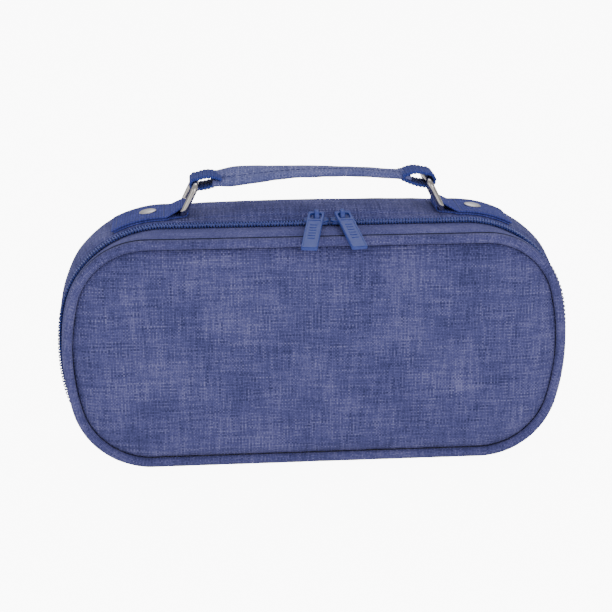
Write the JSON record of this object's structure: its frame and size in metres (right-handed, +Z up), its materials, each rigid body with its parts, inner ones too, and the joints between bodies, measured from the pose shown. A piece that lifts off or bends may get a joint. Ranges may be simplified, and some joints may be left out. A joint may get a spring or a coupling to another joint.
{
  "type": "pencil case",
  "caption": "Soft rounded pencil case with a zip-round cover, piped seams, two pulls and a webbing carrying strap on wire rings.",
  "frame": {"origin": "on the table, under the middle of the case's flat base", "axes": "+X along the length to the right as seen from the cover, -Y out of the cover, +Z up"},
  "size_m": [0.2306, 0.0688, 0.1324],
  "materials": {
    "outer_fabric": "heathered blue weave",
    "piping_fabric": "weave over a round cord",
    "foam": "soft closed-cell sheet",
    "lining": "smooth thin weave",
    "binding": "ribbed tape",
    "zip_tape": "herringbone tape",
    "zip_coil": "glossy monofilament",
    "painted_zinc": "satin paint",
    "nickel_wire": "bright nickel",
    "nickel_rivet": "pale nickel",
    "webbing": "ribbed webbing",
    "elastic": "woven elastic",
    "mesh": "knitted mesh"
  },
  "bodies": {
    "case": {"back_panel": "outer_fabric", "back_foam": "foam", "back_lining": "lining", "back_piping": "piping_fabric", "top_gusset": "outer_fabric", "bottom_gusset": "outer_fabric", "top_gusset_foam": "foam", "bottom_gusset_foam": "foam", "top_gusset_lining": "lining", "bottom_gusset_lining": "lining", "zip_tape_case": "zip_tape", "zip_coil_case": "zip_coil", "zip_end_tab_left": "outer_fabric", "zip_end_tab_right": "outer_fabric", "handle_tab_left": "webbing", "handle_tab_right": "webbing", "tab_rivets": "nickel_rivet", "pen_band": "elastic"},
    "cover": {"cover_panel": "outer_fabric", "cover_foam": "foam", "cover_lining": "lining", "cover_piping": "piping_fabric", "cover_binding": "binding", "zip_tape_cover": "zip_tape", "zip_coil_cover": "zip_coil", "cover_pocket": "mesh"},
    "slider_l": {"slider_left": "painted_zinc"},
    "slider_r": {"slider_right": "painted_zinc"},
    "pull_l": {"pull_left": "painted_zinc"},
    "pull_r": {"pull_right": "painted_zinc"},
    "ring_l": {"ring_left": "nickel_wire"},
    "ring_r": {"ring_right": "nickel_wire"},
    "handle": {"handle_webbing": "webbing", "handle_sleeve": "outer_fabric"}
  },
  "joints": [
    {"name": "cover_hinge", "type": "hinge", "parent": "case", "child": "cover", "pos_m": [0, -0.0276, 0.00515], "axis": [1, 0, 0], "range_deg": [0, 86]},
    {"name": "slider_left_travel", "type": "slide", "parent": "cover", "child": "slider_l", "axis": [-1, 0, 0], "range_m": [0, 0.052]},
    {"name": "slider_right_travel", "type": "slide", "parent": "cover", "child": "slider_r", "axis": [1, 0, 0], "range_m": [0, 0.042]},
    {"name": "pull_left_swing", "type": "hinge", "parent": "slider_l", "child": "pull_l", "pos_m": [0.0008, -0.013, 0.11575], "axis": [-0.9781, 0.2079, 0], "range_deg": [0, 108]},
    {"name": "pull_right_swing", "type": "hinge", "parent": "slider_r", "child": "pull_r", "pos_m": [0.0122, -0.013, 0.11575], "axis": [-0.9781, -0.2079, 0], "range_deg": [0, 108]},
    {"name": "ring_left_sway", "type": "hinge", "parent": "case", "child": "ring_l", "pos_m": [-0.058, 0.0045, 0.1151], "axis": [0, 1, 0], "range_deg": [-15, 15]},
    {"name": "ring_right_sway", "type": "hinge", "parent": "case", "child": "ring_r", "pos_m": [0.058, 0.0045, 0.1151], "axis": [0, 1, 0], "range_deg": [-16, 16]},
    {"name": "handle_tilt", "type": "hinge", "parent": "ring_l", "child": "handle", "pos_m": [-0.052, 0.0045, 0.1272], "axis": [0, 1, 0], "range_deg": [-18, 18]}
  ],
  "couplings": [
    {"joint": "ring_right_sway", "follows": "ring_left_sway", "ratio": 1},
    {"joint": "handle_tilt", "follows": "ring_left_sway", "ratio": -1.115}
  ]
}
